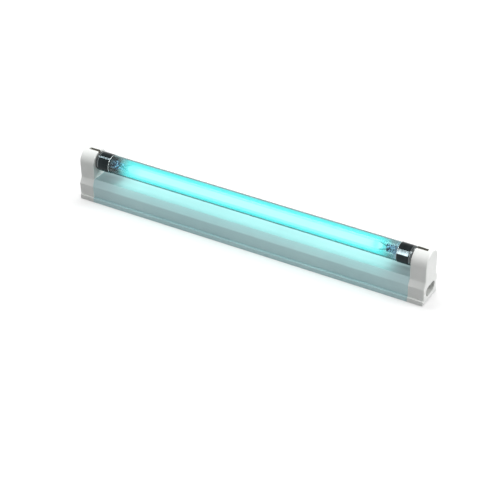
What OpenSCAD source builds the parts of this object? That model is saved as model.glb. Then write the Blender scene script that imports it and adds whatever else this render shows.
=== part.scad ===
// Germicidal lamp: a quartz discharge tube on a slim batten with its ballast inside.
// X runs along the lamp, Y from front to back, Z up. The origin is the centre of the underside.

/* [Lamp tube] */
// Length of the lamp between the outer faces of its two bases
lamp_l = 288.3; // [220:0.1:600]
// Outside diameter of the quartz tube
glass_d = 15.6; // [14.6:0.1:16.2]
// Wall of the quartz tube
glass_wall = 0.9; // [0.7:0.05:1.2]
// Length of each metal base
base_l = 12.9; // [10:0.1:14]
// Sheet thickness of the metal base
base_wall = 0.3; // [0.2:0.05:0.5]
// Diameter of a contact pin
pin_d = 2.35; // [2.2:0.05:2.5]
// Distance between the two pins of a base
pin_pitch = 4.75; // [4.6:0.05:5]
// How far a pin stands out of its base
pin_l = 7.1; // [6.6:0.1:7.4]

/* [Cathode mount] */
// Outside diameter of the glass stem
stem_d = 7; // [6:0.1:8]
// Wall of the glass stem
stem_wall = 1.1; // [0.9:0.1:1.3]
// Length of the flattened seal at the end of the stem
pinch_l = 7; // [5:0.1:8]
// Width of the flattened seal
pinch_w = 6.6; // [5.6:0.1:7]
// Thickness of the flattened seal
pinch_t = 2.4; // [1.8:0.1:3]
// How far the filament stands inwards from the rim of the metal base
filament_reach = 17.5; // [15:0.1:22]
// Diameter of the nickel lead-in wires
wire_d = 0.6; // [0.5:0.05:0.8]
// Distance between the two lead-in wires in the seal
wire_pitch = 3.4; // [3:0.1:3.8]
// Distance between the two ends of the filament
filament_l = 6.8; // [6:0.1:7.6]
// Outside diameter of the filament's coil
coil_d = 1.3; // [1:0.1:1.6]
// Thickness of the coiled tungsten
coil_wire = 0.3; // [0.2:0.05:0.35]
// Turns of the filament
coil_turns = 11; // [6:1:14]

/* [Housing] */
// Width over the two bottom lips
lip_w = 26; // [24.6:0.1:30]
// Height of the bottom lips
lip_h = 4.1; // [3.4:0.1:4.4]
// Width of the housing just above the lips
foot_w = 23; // [22.6:0.1:23.8]
// Width of the housing at its shoulders
shoulder_w = 24.6; // [23.6:0.1:25]
// Height of the shoulders
shoulder_h = 15; // [14.6:0.1:16]
// Width over the two ridges beside the reflector tray
ridge_w = 19.5; // [18.6:0.1:20]
// Height of the ridges
ridge_h = 21.2; // [21:0.1:22.4]
// Flat width of each ridge
ridge_land = 0.9; // [0.6:0.1:1.4]
// Depth of the reflector tray below the ridges
tray_drop = 0.7; // [0.4:0.1:1]
// Wall of the extrusion
wall = 1.2; // [1:0.1:1.4]
// Height of the lamp's axis above the underside
axis_h = 34.6; // [33.6:0.1:38]

/* [Base plate] */
// Thickness of the base plate
plate_t = 1.4; // [1.2:0.1:1.6]
// Height of the base plate's underside
plate_lift = 1; // [0.8:0.1:1.2]
// Width of the inward flange that holds up each edge of the plate
flange_w = 1.8; // [1.2:0.1:2.4]

/* [End caps] */
// Length of an end cap along the lamp
cap_l = 13.5; // [13:0.1:16]
// Wall of an end cap
cap_wall = 1.6; // [1.4:0.1:1.8]
// How far an end cap stands proud of the housing
cap_proud = 0.4; // [0.2:0.1:0.5]
// Width of an end cap at its neck
neck_w = 19.8; // [19:0.1:20.4]
// How far the neck lies below the ridges of the housing
neck_drop = 0.9; // [0.2:0.1:1.6]
// Width of an end cap at its round head
head_w = 21.4; // [20.4:0.1:22]
// Height of an end cap above the lamp's axis
head_rise = 9; // [8.8:0.1:11]
// Radius of the round edge of the outer face
cap_round = 1.1; // [0.8:0.1:1.4]
// Length of the tongue that plugs into the housing
spigot_l = 6; // [4:0.1:10]
// Wall of that tongue
spigot_wall = 1; // [0.8:0.1:1.2]

/* [Lampholder] */
// Width of the slot that the pins drop into
entry_w = 2.9; // [2.8:0.1:3.2]
// Diameter of the rotor's face in the cap's window
rotor_face_d = 10; // [9:0.1:10.6]
// Diameter of the rotor's drum
drum_d = 12.2; // [11.6:0.1:13]
// Diameter of the rotor's rear journal
journal_d = 5; // [4:0.1:6]
// Length of the rotor's rear journal
journal_l = 1.7; // [1.2:0.1:1.8]
// Thickness of a contact blade
blade_t = 0.35; // [0.25:0.05:0.4]
// Width of a contact blade
blade_w = 1.6; // [1.2:0.1:1.8]
// Distance from the lamp's axis down to the tail of a blade
blade_drop = 12.4; // [12:0.1:13]

/* [Supply sockets] */
// Width of the recess for the connector
socket_w = 16.4; // [15.6:0.1:17]
// Height of the recess
socket_h = 8.8; // [8:0.1:9.2]
// Height of the recess's centre above the underside
socket_z = 9.2; // [9:0.1:9.6]
// Wall round the recess
socket_wall = 1.2; // [1:0.1:1.3]
// Diameter of a supply pin
inlet_pin_d = 2.4; // [2.2:0.1:2.6]
// Distance between the two supply pins
inlet_pitch = 8.6; // [8:0.1:9]
// Free length of a supply pin
inlet_pin_l = 9.5; // [8:0.1:10]

/* [Ballast] */
// Length of the circuit board
board_l = 110; // [104:1:140]
// Thickness of the circuit board
board_t = 1.6; // [1.2:0.1:2]
// Height of the board's underside
board_z = 5.6; // [5.4:0.1:6]
// Height of the ribs that hold the board's edges
rib_t = 0.8; // [0.6:0.1:1]
// Width of those ribs
rib_w = 1.4; // [1:0.1:1.8]
// Outside diameter of an insulated lead
lead_d = 1.2; // [1:0.1:1.4]

/* [Fasteners] */
// Shank diameter of the cap screws
screw_d = 2.4; // [2:0.1:2.6]
// Length of the cap screws
screw_l = 6; // [5:0.1:6.2]
// Head diameter of the cap screws
screw_head_d = 4.8; // [4.4:0.1:5.2]

/* [Fits] */
// Radial clearance of the rotor in its bearings
run_gap = 0.08; // [0.04:0.01:0.1]
// Clearance of a piece that slides into its seat
slide_gap = 0.15; // [0.1:0.01:0.2]
// Space between pieces that stay apart
seat_gap = 0.3; // [0.25:0.01:0.35]
// Space between the lamp's base and the end cap
end_gap = 0.5; // [0.3:0.05:0.7]
// Radial clearance of a fixed pin or screw in its hole
fixed_gap = 0.05; // [0.02:0.01:0.08]

/* [Hidden] */

// Places along the lamp
cap_x = lamp_l / 2 + end_gap;
rim_x = lamp_l / 2 - base_l;
filament_x = rim_x - filament_reach;

// The lips fall a little towards their edges and meet the side in a small fillet
lip_fall = 0.1;
lip_fillet = 0.2;

// Levels inside the housing
plate_top = plate_lift + plate_t + slide_gap;
board_top = board_z + board_t;
hollow_top = ridge_h - tray_drop - wall;
spigot_floor = board_top + slide_gap + rib_t + seat_gap;
side_in = foot_w / 2 - wall;

// Stations of the lampholder, measured outwards from the inner face of the cap
front_wall = 1.5;
drum_front = front_wall + seat_gap;
pin_tip = pin_l - end_gap;
blade_x = pin_tip - 1.5;
groove_half = blade_w / 2 + seat_gap + 0.1;
slot_end = pin_tip + seat_gap;
drum_end = slot_end + 1.3;
block_end = cap_l - cap_wall - seat_gap;
entry_stop = 2.2;
entry_depth = cap_l - cap_wall - entry_stop;
block_drop = 10.6;
block_foot = axis_h - block_drop;
core_r = (pin_pitch + pin_d) / 2 - 0.05;
blade_y = (pin_pitch + pin_d) / 2 + seat_gap + blade_t / 2;
tail_y = drum_d / 2 + 0.5;
tail_z = axis_h - blade_drop;

// Stations of the supply socket, measured outwards from the inner face of the cap
socket_floor = 1.9;
shank_step = 0.3;
collar_step = 0.4;
collar_t = 0.8;
tag_l = 3;
tag_w = 3;
tag_t = 0.8;
lead_side = (tag_w - lead_d) / 2 - 0.15;
tag_x = cap_x - collar_t - tag_l;
shank_r = inlet_pin_d / 2 + shank_step;

// The screw boss under the housing's end
boss_l = 8;
boss_w = 7.2;
boss_top = 7;
screw_x = cap_x - 4.2;
countersink = (screw_head_d - screw_d) / 2;

// The choke: its core, which fills the hollow's height with yokes in proportion, and its bobbin's levels
choke_x = 24;
choke_l = 13;
choke_headroom = 1.9;
choke_h = hollow_top - board_top - choke_headroom;
core_t = 6.2;
core_yoke = choke_h * 0.27;
core_leg = 2.8;
core_mid = 3.6;
core_window = (choke_l - core_mid) / 2 - core_leg;
bobbin_t = 0.5;
bobbin_low = seat_gap + core_yoke + slide_gap;
bobbin_high = seat_gap + choke_h - core_yoke - slide_gap;

// Places along the board of the small parts
fuse_x = -49;
rectifier_x = -44;
can_x = -30;
film_pair_x = -12;
small_x = -6.5;
toroid_x = 6;
transistor_x = 14;
transistor_y = 6;
film_single_x = 38;
last_resistor_x = 47;

// Where the lamp leads leave the board, to either side of its middle
lead_y_left = 3.2;
lead_y_right = 5.4;

// The metal base and the mount inside it
disc_t = 1.2;
curl_r = 0.8;
glass_end = lamp_l / 2 - 2.4;
base_r = glass_d / 2 + fixed_gap + base_wall;
glass_r_in = glass_d / 2 - glass_wall;
flare_l = 4.4;
pinch_x = filament_x + 6.4;
neck_x = pinch_x + pinch_l;

// Outlines are lists of corners [y, z, radius of the corner], anticlockwise

function unit(v) = v / norm(v);
function flat(p) = [p[0], p[1]];
function left_of(v) = [-v[1], v[0]];
function at(p, i) = p[(i + len(p)) % len(p)];
function turn(a, b, c) = cross(flat(b) - flat(a), flat(c) - flat(b));

// Both halves of an outline that is given by its right half
function both_sides(half) =
    concat(half, [for (i = [len(half) - 1:-1:0]) [-half[i][0], half[i][1], half[i][2]]]);

// The same corners, moved inwards by a wall's thickness
function inset(p, d) = [for (i = [0:len(p) - 1])
    let (a = at(p, i - 1), b = at(p, i), c = at(p, i + 1),
        n1 = left_of(unit(flat(b) - flat(a))),
        n2 = left_of(unit(flat(c) - flat(b))),
        q = flat(b) + d * (n1 + n2) / (1 + n1 * n2),
        grow = b[2] > lip_fillet ? d : 0,
        r = turn(a, b, c) > 0 ? max(b[2] - d, 0.12) : b[2] + grow)
    [q[0], q[1], r]];

// One corner as an arc with a given number of steps
function arc(a, b, c, steps) =
    let (u = unit(flat(a) - flat(b)), v = unit(flat(c) - flat(b)),
        half = acos(u * v) / 2,
        centre = flat(b) + unit(u + v) * b[2] / sin(half),
        first = flat(b) + u * b[2] / tan(half) - centre,
        last = flat(b) + v * b[2] / tan(half) - centre,
        start = atan2(first[1], first[0]),
        sweep = (atan2(last[1], last[0]) - start + 540) % 360 - 180)
    [for (k = [0:steps]) let (t = start + sweep * k / steps) centre + b[2] * [cos(t), sin(t)]];

// Every corner rounded; the number of steps follows the radii of a reference outline
function rounded(p, reference) = [for (i = [0:len(p) - 1])
    each arc(at(p, i - 1), at(p, i), at(p, i + 1), reference[i][2] > 5 ? 18 : 4)];

housing_outline = both_sides([
    [lip_w / 2, 0, 0.4],
    [lip_w / 2, lip_h - lip_fall, 0.4],
    [foot_w / 2, lip_h, lip_fillet],
    [shoulder_w / 2, shoulder_h, 1.2],
    [ridge_w / 2, ridge_h, 0.35],
    [ridge_w / 2 - ridge_land, ridge_h, 0.35],
    [ridge_w / 2 - ridge_land - tray_drop, ridge_h - tray_drop, 0.4]]);

housing_hollow = inset(both_sides([
    [foot_w / 2, plate_top - wall, 1.4],
    [shoulder_w / 2, shoulder_h, 1.8],
    [ridge_w / 2 - 0.4, ridge_h - tray_drop, 1.8]]), wall);

cap_neck = [neck_w / 2, ridge_h - neck_drop, 3.5];
// The head's corners are rounded until only a narrow flat is left on top
head_flat = 0.4;
head_lean = atan((head_w - neck_w) / 2 / (axis_h + head_rise - ridge_h + neck_drop));
head_r = (head_w / 2 - head_flat) * tan(45 - head_lean / 2);
cap_head = [head_w / 2, axis_h + head_rise, head_r];
cap_shoulder = [shoulder_w / 2 + cap_proud, shoulder_h, 1.6];

cap_outline = both_sides([
    [lip_w / 2, 0, 0.4],
    [lip_w / 2, lip_h - lip_fall, 0.4],
    [foot_w / 2 + cap_proud, lip_h, lip_fillet],
    cap_shoulder, cap_neck, cap_head]);

cap_hollow = inset(both_sides([[foot_w / 2 + cap_proud, 0, 2], cap_shoulder, cap_neck, cap_head]), cap_wall);

block_outline = inset(both_sides([cap_neck, cap_head]), cap_wall + seat_gap);

module outline(p) {
    polygon(rounded(p, p));
}

// The child's outline drawn out along X
module bar(x0, x1) {
    translate([x0, 0, 0]) rotate([90, 0, 90]) linear_extrude(x1 - x0) children();
}

// A round rod along X
module rod(x0, x1, r, y, z) {
    translate([x0, y, z]) rotate([0, 90, 0]) cylinder(h = x1 - x0, r = r, $fn = 48);
}

// A profile of [radius, x] turned about the lamp's axis
module turned(profile) {
    translate([0, 0, axis_h]) rotate([0, 90, 0]) rotate_extrude($fn = 96) polygon(profile);
}

// A block given by its low and high corners
module block(low, high) {
    translate(low) cube(high - low);
}

// The child carried to the left end as its mirror image
module left_end() {
    mirror([1, 0, 0]) children();
}

// The triangles between m rings of n points each
function facets(n, m) = [for (k = [0:m - 2]) for (i = [0:n - 1]) let (a = k * n, j = (i + 1) % n)
    each [[a + i, a + n + i, a + n + j], [a + i, a + n + j, a + j]]];

// A skin over rings of [x, outline points], all with the same number of points and with equal halves;
// each end face is a ladder of strips from a point to its mirror image
module skin(rings) {
    n = len(rings[0][1]);
    last = (len(rings) - 1) * n;
    points = [for (ring = rings) for (p = ring[1]) [ring[0], p[0], p[1]]];
    inner_face = [for (i = [0:n / 2 - 2]) [i, i + 1, n - 2 - i, n - 1 - i]];
    outer_face = [for (f = inner_face) [for (k = [3:-1:0]) last + f[k]]];
    polyhedron(points, concat(facets(n, len(rings)), inner_face, outer_face), convexity = 6);
}

// A smooth curve through hand-set points, with a number of steps between them
function curve(p, steps) = concat([for (i = [0:len(p) - 2]) for (s = [0:steps - 1])
    let (a = p[max(i - 1, 0)], b = p[i], c = p[i + 1], d = p[min(i + 2, len(p) - 1)], t = s / steps)
    b + (c - a) * t / 2 + (2 * a - 5 * b + 4 * c - d) * t * t / 2
        + (3 * b - a - 3 * c + d) * t * t * t / 2],
    [p[len(p) - 1]]);

// A route: straight out of its first point and into its last, and a curve between
function route(p, steps) =
    concat([p[0]], curve([for (i = [1:len(p) - 2]) p[i]], steps), [p[len(p) - 1]]);

function tangent(p, i) = unit(p[min(i + 1, len(p) - 1)] - p[max(i - 1, 0)]);
function square_to(n, t) = unit(n - (n * t) * t);

// Directions across a path that turn with it and don't twist
function across(p, start) = [for (i = 0, n = square_to(start, tangent(p, 0)); i < len(p);
    i = i + 1, n = square_to(n, tangent(p, min(i, len(p) - 1)))) n];

// A round wire along a path
module wire(p, d, start, sides = 8) {
    n = across(p, start);
    m = len(p);
    points = [for (i = [0:m - 1]) let (b = cross(tangent(p, i), n[i])) for (k = [0:sides - 1])
        p[i] + d / 2 * (cos(360 * k / sides) * n[i] + sin(360 * k / sides) * b)];
    skins = facets(sides, m);
    start_face = [for (k = [0:sides - 1]) k];
    end_face = [for (k = [sides - 1:-1:0]) (m - 1) * sides + k];
    polyhedron(points, concat(skins, [start_face, end_face]), convexity = 4);
}

// A bent strip of sheet: a path of [y, z] given a thickness
function strip(p, t) = let (m = len(p), n = [for (i = [0:m - 1]) let (d = tangent(p, i)) left_of(d)])
    concat([for (i = [0:m - 1]) p[i] - n[i] * t / 2], [for (i = [m - 1:-1:0]) p[i] + n[i] * t / 2]);

// A slot outline with round ends, centred on a height
module stadium(w, h, z) {
    translate([0, z]) {
        square([w - h, h], center = true);
        for (side = [-1, 1]) translate([side * (w - h) / 2, 0]) circle(d = h, $fn = 64);
    }
}

// Housing: one extrusion with lips, a groove for the base plate and ribs for the board
module housing() {
    groove = lip_w / 2 - wall;
    color("gainsboro") bar(-cap_x, cap_x) {
        difference() {
            outline(housing_outline);
            outline(housing_hollow);
            translate([-groove, plate_lift]) square([2 * groove, plate_top - plate_lift]);
            translate([-groove + flange_w, -1]) square([2 * (groove - flange_w), plate_top]);
        }
        for (side = [-1, 1], z = [board_z - rib_t, board_top + slide_gap])
            translate([side * (side_in - rib_w / 2 + 0.3), z + rib_t / 2])
                square([rib_w + 0.6, rib_t], center = true);
    }
}

// Base plate: slides into the groove and is held by the two cap screws
module base_plate() {
    half = lip_w / 2 - wall - slide_gap;
    color("whitesmoke") difference() {
        block([-cap_x, -half, plate_lift], [cap_x, half, plate_lift + plate_t]);
        for (side = [-1, 1]) translate([side * screw_x, 0, plate_lift]) {
            translate([0, 0, -1]) cylinder(h = plate_t + 2, d = screw_d + 4 * fixed_gap, $fn = 48);
            cylinder(h = countersink + fixed_gap,
                d1 = screw_head_d + 2 * fixed_gap, d2 = screw_d, $fn = 48);
        }
    }
}

// End cap: a moulded shell that is lampholder, socket and end plug in one
module end_cap() {
    lip_edge = 0.3;
    rounding = [for (a = [0:15:90]) [cap_x + cap_l - cap_round * (1 - sin(a)), cap_round * (1 - cos(a))]];
    stations = concat([[cap_x, lip_edge], [cap_x + lip_edge, 0]], rounding);
    color("white") difference() {
        union() {
            difference() {
                skin([for (s = stations) [s[0], rounded(inset(cap_outline, s[1]), cap_outline)]]);
                bar(cap_x + front_wall, cap_x + cap_l - cap_wall) outline(cap_hollow);
            }
            spigot();
            bar(cap_x + front_wall, cap_x + cap_l - cap_wall / 2)
                stadium(socket_w + 2 * socket_wall, socket_h + 2 * socket_wall, socket_z);
            screw_boss();
        }
        housing_window();
        bar(cap_x + socket_floor, cap_x + cap_l + 1) stadium(socket_w, socket_h, socket_z);
        for (side = [-1, 1])
            rod(cap_x - 1, cap_x + 3, shank_r + fixed_gap, side * inlet_pitch / 2, socket_z);
        rod(cap_x - 1, cap_x + front_wall + 1, rotor_face_d / 2 + run_gap, 0, axis_h);
        block([cap_x - 1, -entry_w / 2, axis_h],
            [cap_x + entry_depth, entry_w / 2, axis_h + head_rise + 1]);
        translate([screw_x, 0, 0]) cylinder(h = plate_lift + screw_l + 0.4,
            d = screw_d + 2 * fixed_gap, $fn = 48);
    }
}

// The tongue of the end cap, an arch that fits the hollow above the board ribs
module spigot() {
    bar(cap_x - spigot_l, cap_x + front_wall) intersection() {
        outline(inset(housing_hollow, slide_gap));
        translate([-lip_w, spigot_floor]) square([2 * lip_w, ridge_h]);
    }
}

// The way from the cap into the housing, inside the tongue and above the socket's wall
module housing_window() {
    roof = socket_z + socket_h / 2 + socket_wall + slide_gap;
    bar(cap_x - spigot_l - 1, cap_x) outline(inset(housing_hollow, slide_gap + spigot_wall));
    bar(cap_x - 1, cap_x + front_wall + 0.1) intersection() {
        outline(inset(housing_hollow, slide_gap + spigot_wall));
        translate([-lip_w, roof]) square([2 * lip_w, ridge_h]);
    }
}

// The block under the housing's end that takes the cap screw
module screw_boss() {
    block([cap_x - boss_l, -boss_w / 2, plate_top], [cap_x + front_wall, boss_w / 2, boss_top]);
}

// Contact block: carries the rotor's bearing and the two blades inside the cap's head
module contact_block() {
    slit = blade_w / 2 + seat_gap;
    color("ivory") difference() {
        bar(cap_x + drum_front, cap_x + block_end) intersection() {
            outline(block_outline);
            translate([-head_w, block_foot]) square([2 * head_w, axis_h]);
        }
        rod(cap_x, cap_x + drum_end + seat_gap, drum_d / 2 + run_gap, 0, axis_h);
        rod(cap_x, cap_x + block_end + 1, journal_d / 2 + run_gap, 0, axis_h);
        block([cap_x, -entry_w / 2, axis_h], [cap_x + drum_end + seat_gap, entry_w / 2, axis_h + head_rise]);
        block([cap_x, -entry_w / 2, axis_h + drum_d / 2],
            [cap_x + entry_depth, entry_w / 2, axis_h + head_rise]);
        for (side = [-1, 1]) translate([cap_x + blade_x, side * (tail_y + core_r) / 2, 0])
            block([-slit, -(tail_y - core_r) / 2 - 0.6, block_foot - 1],
                [slit, (tail_y - core_r) / 2 + 0.6, axis_h + 3.8]);
    }
}

// Lamp contacts: two sprung blades that grip the pins from either side
module lamp_contacts() {
    half = curve([[tail_y, -blade_drop], [tail_y, -8.6], [tail_y - 0.1, -5.6], [blade_y + 0.9, -2.2],
        [blade_y, -0.6], [blade_y, 0.6], [blade_y + 0.7, 2], [blade_y + 1.5, 3.2]], 3);
    color("goldenrod") for (side = [0, 1]) mirror([0, side, 0]) translate([0, 0, axis_h])
        bar(cap_x + blade_x - blade_w / 2, cap_x + blade_x + blade_w / 2) polygon(strip(half, blade_t));
}

// Rotor: the drum that the pins turn, with a slot right across it and a groove for the blades
module rotor() {
    slot = pin_d / 2 + slide_gap;
    face_r = rotor_face_d / 2;
    drum_r = drum_d / 2;
    color("white") difference() {
        turned([[0, cap_x], [face_r, cap_x], [face_r, cap_x + drum_front], [drum_r, cap_x + drum_front],
            [drum_r, cap_x + blade_x - groove_half], [core_r, cap_x + blade_x - groove_half],
            [core_r, cap_x + blade_x + groove_half], [drum_r, cap_x + blade_x + groove_half],
            [drum_r, cap_x + drum_end], [journal_d / 2, cap_x + drum_end],
            [journal_d / 2, cap_x + drum_end + journal_l], [0, cap_x + drum_end + journal_l]]);
        block([cap_x - 1, -drum_d, axis_h - slot], [cap_x + slot_end, drum_d, axis_h + slot]);
    }
}

// Supply pins: each has a shouldered shank in the socket's floor and a flat tag behind it
module inlet_pins() {
    floor_x = cap_x + socket_floor;
    tip = 0.6;
    r = inlet_pin_d / 2;
    color("silver") for (side = [-1, 1]) {
        y = side * inlet_pitch / 2;
        rod(floor_x, floor_x + inlet_pin_l - tip, r, y, socket_z);
        translate([floor_x + inlet_pin_l - tip, y, socket_z]) rotate([0, 90, 0])
            cylinder(h = tip, r1 = r, r2 = r - tip, $fn = 48);
        rod(cap_x, floor_x, shank_r, y, socket_z);
        rod(cap_x - collar_t, cap_x, shank_r + collar_step, y, socket_z);
        block([tag_x, y - tag_w / 2, socket_z - tag_t / 2],
            [cap_x - collar_t, y + tag_w / 2, socket_z + tag_t / 2]);
    }
}

// Cap screws: countersunk, with a cross recess, driven up through the base plate
module cap_screws() {
    recess = 0.5;
    color("lightgray") for (side = [-1, 1]) translate([side * screw_x, 0, plate_lift]) difference() {
        union() {
            cylinder(h = countersink, d1 = screw_head_d, d2 = screw_d, $fn = 48);
            cylinder(h = screw_l, d = screw_d, $fn = 48);
        }
        for (a = [0, 90]) rotate(a) cube([screw_head_d * 0.55, recess, 1.6], center = true);
    }
}

// Ballast board: the circuit board that slides between the ribs
module ballast_board() {
    half = side_in - seat_gap;
    color("darkgoldenrod") block([-board_l / 2, -half, board_z], [board_l / 2, half, board_top]);
}

// Choke core: a pair of E cores that meet round the bobbin
module choke_core() {
    color("dimgray") translate([choke_x, 0, board_top + seat_gap]) difference() {
        block([-choke_l / 2, -core_t / 2, 0], [choke_l / 2, core_t / 2, choke_h]);
        for (side = [-1, 1]) translate([side * (core_mid + core_window) / 2, 0, choke_h / 2])
            cube([core_window, core_t + 1, choke_h - 2 * core_yoke], center = true);
    }
}

// A collar round the choke's middle leg, at a gap from it
module leg_collar(gap, thick, low, high) {
    x = core_mid / 2 + gap;
    y = core_t / 2 + gap;
    difference() {
        block([-x - thick, -y - thick, low], [x + thick, y + thick, high]);
        block([-x, -y, low - 1], [x, y, high + 1]);
    }
}

// Choke bobbin: a barrel between two flanges, on feet that stand on the board
module choke_bobbin() {
    flange = core_window - 2 * slide_gap;
    foot_y = core_t / 2 + slide_gap + flange / 2;
    color("black") translate([choke_x, 0, board_top]) {
        leg_collar(slide_gap, bobbin_t, bobbin_low, bobbin_high);
        for (z = [bobbin_low, bobbin_high - bobbin_t]) leg_collar(slide_gap, flange, z, z + bobbin_t);
        for (side = [-1, 1])
            block([-3, side * foot_y - 0.6, 0], [3, side * foot_y + 0.6, bobbin_low + bobbin_t / 2]);
    }
}

module choke_winding() {
    gap = slide_gap + bobbin_t + fixed_gap;
    color("darkorange") translate([choke_x, 0, board_top]) leg_collar(gap, core_window - gap - slide_gap,
        bobbin_low + bobbin_t + fixed_gap, bobbin_high - bobbin_t - fixed_gap);
}

// Drive transformer: a small ferrite ring that lies on the board
module drive_toroid() {
    ring_r = 3.4;
    ring_t = 2.6;
    ring_h = 4.4;
    color("darkgreen") translate([toroid_x, 0, board_top + ring_h / 2]) rotate_extrude($fn = 48)
        translate([ring_r, 0]) square([ring_t, ring_h], center = true);
}

// Reservoir capacitor: a can that lies along the board, with its sleeve turned in at both ends
module bulk_capacitor() {
    can_r = 4;
    can_l = 12;
    groove_x = 2;
    color("midnightblue") translate([can_x, 0, board_top + can_r]) rotate([0, 90, 0]) difference() {
        cylinder(h = can_l, r = can_r, $fn = 64);
        rotate_extrude($fn = 64) translate([can_r, groove_x]) circle(r = 0.5, $fn = 24);
    }
}

// Film capacitors: a pair of potted boxes side by side, and a longer one across the lamp
module film_capacitors() {
    box_w = 4.4;
    box_h = 7.4;
    pair_y = 5;
    pair_l = 7;
    single_l = 10;
    color("firebrick") {
        for (side = [-1, 1]) translate([film_pair_x, side * pair_y, board_top])
            block([-pair_l / 2, -box_w / 2, 0], [pair_l / 2, box_w / 2, box_h]);
        translate([film_single_x, 0, board_top])
            block([-single_l / 2, -box_w / 2, 0], [single_l / 2, box_w / 2, box_h]);
    }
}

// Transistors: flat-backed round bodies on three legs
module transistors() {
    leg = 0.5;
    leg_pitch = 1.27;
    leg_h = 3;
    body_r = 2.3;
    body_h = 4.6;
    back_y = 1.3;
    color("black") for (side = [0, 1]) mirror([0, side, 0])
    translate([transistor_x, transistor_y, board_top]) {
        translate([0, 0, leg_h]) difference() {
            cylinder(h = body_h, r = body_r, $fn = 48);
            block([-body_r - 1, back_y, -1], [body_r + 1, body_r + 1, body_h + 1]);
        }
        for (x = [-leg_pitch, 0, leg_pitch])
            block([x - leg / 2, -leg / 2, 0], [x + leg / 2, leg / 2, leg_h]);
    }
}

// A part with a round body and two bent wires, lying across the board
module axial_part(x, y, body_l, body_r, wire_r) {
    rise = body_r + 0.2;
    wire_end = body_l / 2 + 1.5;
    translate([x, y, board_top + rise]) {
        rotate([90, 0, 0]) cylinder(h = body_l, r = body_r, center = true, $fn = 32);
        rotate([90, 0, 0]) cylinder(h = 2 * wire_end, r = wire_r, center = true, $fn = 16);
        for (side = [-1, 1]) translate([0, side * wire_end, -rise])
            cylinder(h = rise + wire_r, r = wire_r, $fn = 16);
    }
}

// Rectifier: four diodes in a row
module rectifier_diodes() {
    diode_pitch = 3.6;
    color("black") for (i = [0:3]) axial_part(rectifier_x + diode_pitch * i, 0, 5, 1.3, 0.4);
}

// Resistors, of which the first one, at the supply end, is the fuse
module resistors() {
    small_y = 5;
    small_pitch = 2.6;
    color("peru") {
        axial_part(fuse_x, 0, 7, 1.5, 0.35);
        for (i = [0:2]) axial_part(small_x + small_pitch * i, i == 1 ? -small_y : small_y, 3.2, 0.9, 0.25);
        axial_part(last_resistor_x, 0, 5, 1.1, 0.3);
    }
}

// Supply leads: from the left socket to the ballast
module supply_leads() {
    landing = -board_l / 2 + 2.4;
    color("saddlebrown") for (side = [-1, 1]) wire(route([
        [-tag_x, side * (inlet_pitch / 2 + lead_side), socket_z],
        [-tag_x + 2, side * (inlet_pitch / 2 + lead_side), socket_z],
        [-tag_x + 8, side * 5.8, socket_z + 0.4],
        [(landing - tag_x) / 2, side * 6.4, socket_z + 1],
        [landing - 6, side * 6.6, board_top + 3.4],
        [landing - 1.2, side * 6.6, board_top + 3],
        [landing, side * 6.6, board_top + 1.6],
        [landing, side * 6.6, board_top]], 4), lead_d, [0, 1, 0]);
}

// Link leads: from socket to socket, under the board
module link_leads() {
    z = (plate_lift + plate_t + board_z) / 2;
    y = inlet_pitch / 2 - lead_side;
    half = [[-tag_x, y, socket_z], [-tag_x + 4, y, socket_z], [-tag_x + 10, y + 0.4, 8.4],
        [-tag_x + 18, 4.8, 5.6], [-tag_x + 26, 5.4, z], [-board_l / 2, 5.6, z]];
    other = [for (i = [len(half) - 1:-1:0]) [-half[i][0], half[i][1], half[i][2]]];
    color("steelblue") for (side = [0, 1]) mirror([0, side, 0])
        wire(route(concat(half, other), 3), lead_d, [0, 1, 0]);
}

// Lamp leads: from the ballast up to the tails of the contact blades
module lamp_leads(y_start) {
    launch = board_l / 2 - 2.4;
    color("white") for (side = [-1, 1]) wire(route([
        [launch, side * y_start, board_top],
        [launch, side * y_start, board_top + 1.6],
        [launch + 2, side * y_start, board_top + 4],
        [launch + 8, side * (y_start + 0.4), board_top + 5.2],
        [(launch + cap_x) / 2, side * 4.6, board_top + 6.6],
        [cap_x - 8, side * 5.2, board_top + 7.6],
        [cap_x, side * 6.2, board_top + 9.6],
        [cap_x + blade_x - 1, side * (tail_y - 0.1), tail_z - 3.4],
        [cap_x + blade_x, side * tail_y, tail_z - 1.4],
        [cap_x + blade_x, side * tail_y, tail_z]], 4), lead_d, [0, 1, 0]);
}

// Quartz tube, with fire-rounded ends
module tube_glass() {
    r = glass_d / 2;
    round_r = glass_wall / 2;
    half = [for (a = [0:30:180]) [r - round_r + round_r * cos(a), glass_end - round_r + round_r * sin(a)]];
    other = [for (i = [len(half) - 1:-1:0]) [half[i][0], -half[i][1]]];
    color("lightcyan", 0.4) turned(concat(half, other));
}

// Metal base: a drawn cup with its rim curled over the insulating disc
module base_shell() {
    r_in = base_r - base_wall;
    face = lamp_l / 2;
    lip_r = r_in - 1.6;
    bend = [for (a = [0:15:90]) [base_r - curl_r * (1 - cos(a)), face - curl_r * (1 - sin(a))]];
    color("silver") turned(concat([[r_in, rim_x], [base_r, rim_x]], bend,
        [[lip_r, face], [lip_r, face - base_wall], [r_in - curl_r / 2, face - base_wall],
        [r_in, face - base_wall - curl_r / 2]]));
}

// Insulating disc, which carries the pins
module base_disc() {
    r_in = base_r - base_wall;
    back = lamp_l / 2 - base_wall - disc_t - fixed_gap;
    color("tan") difference() {
        turned([[0, back], [r_in - 0.5 - fixed_gap, back],
            [r_in - 0.5 - fixed_gap, lamp_l / 2 - base_wall - fixed_gap],
            [r_in - 1.6 - fixed_gap, lamp_l / 2 - base_wall - fixed_gap],
            [r_in - 1.6 - fixed_gap, lamp_l / 2 - 0.1], [0, lamp_l / 2 - 0.1]]);
        for (side = [-1, 1])
            rod(back - 1, lamp_l / 2 + 1, pin_d / 2 + fixed_gap, side * pin_pitch / 2, axis_h);
    }
}

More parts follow.
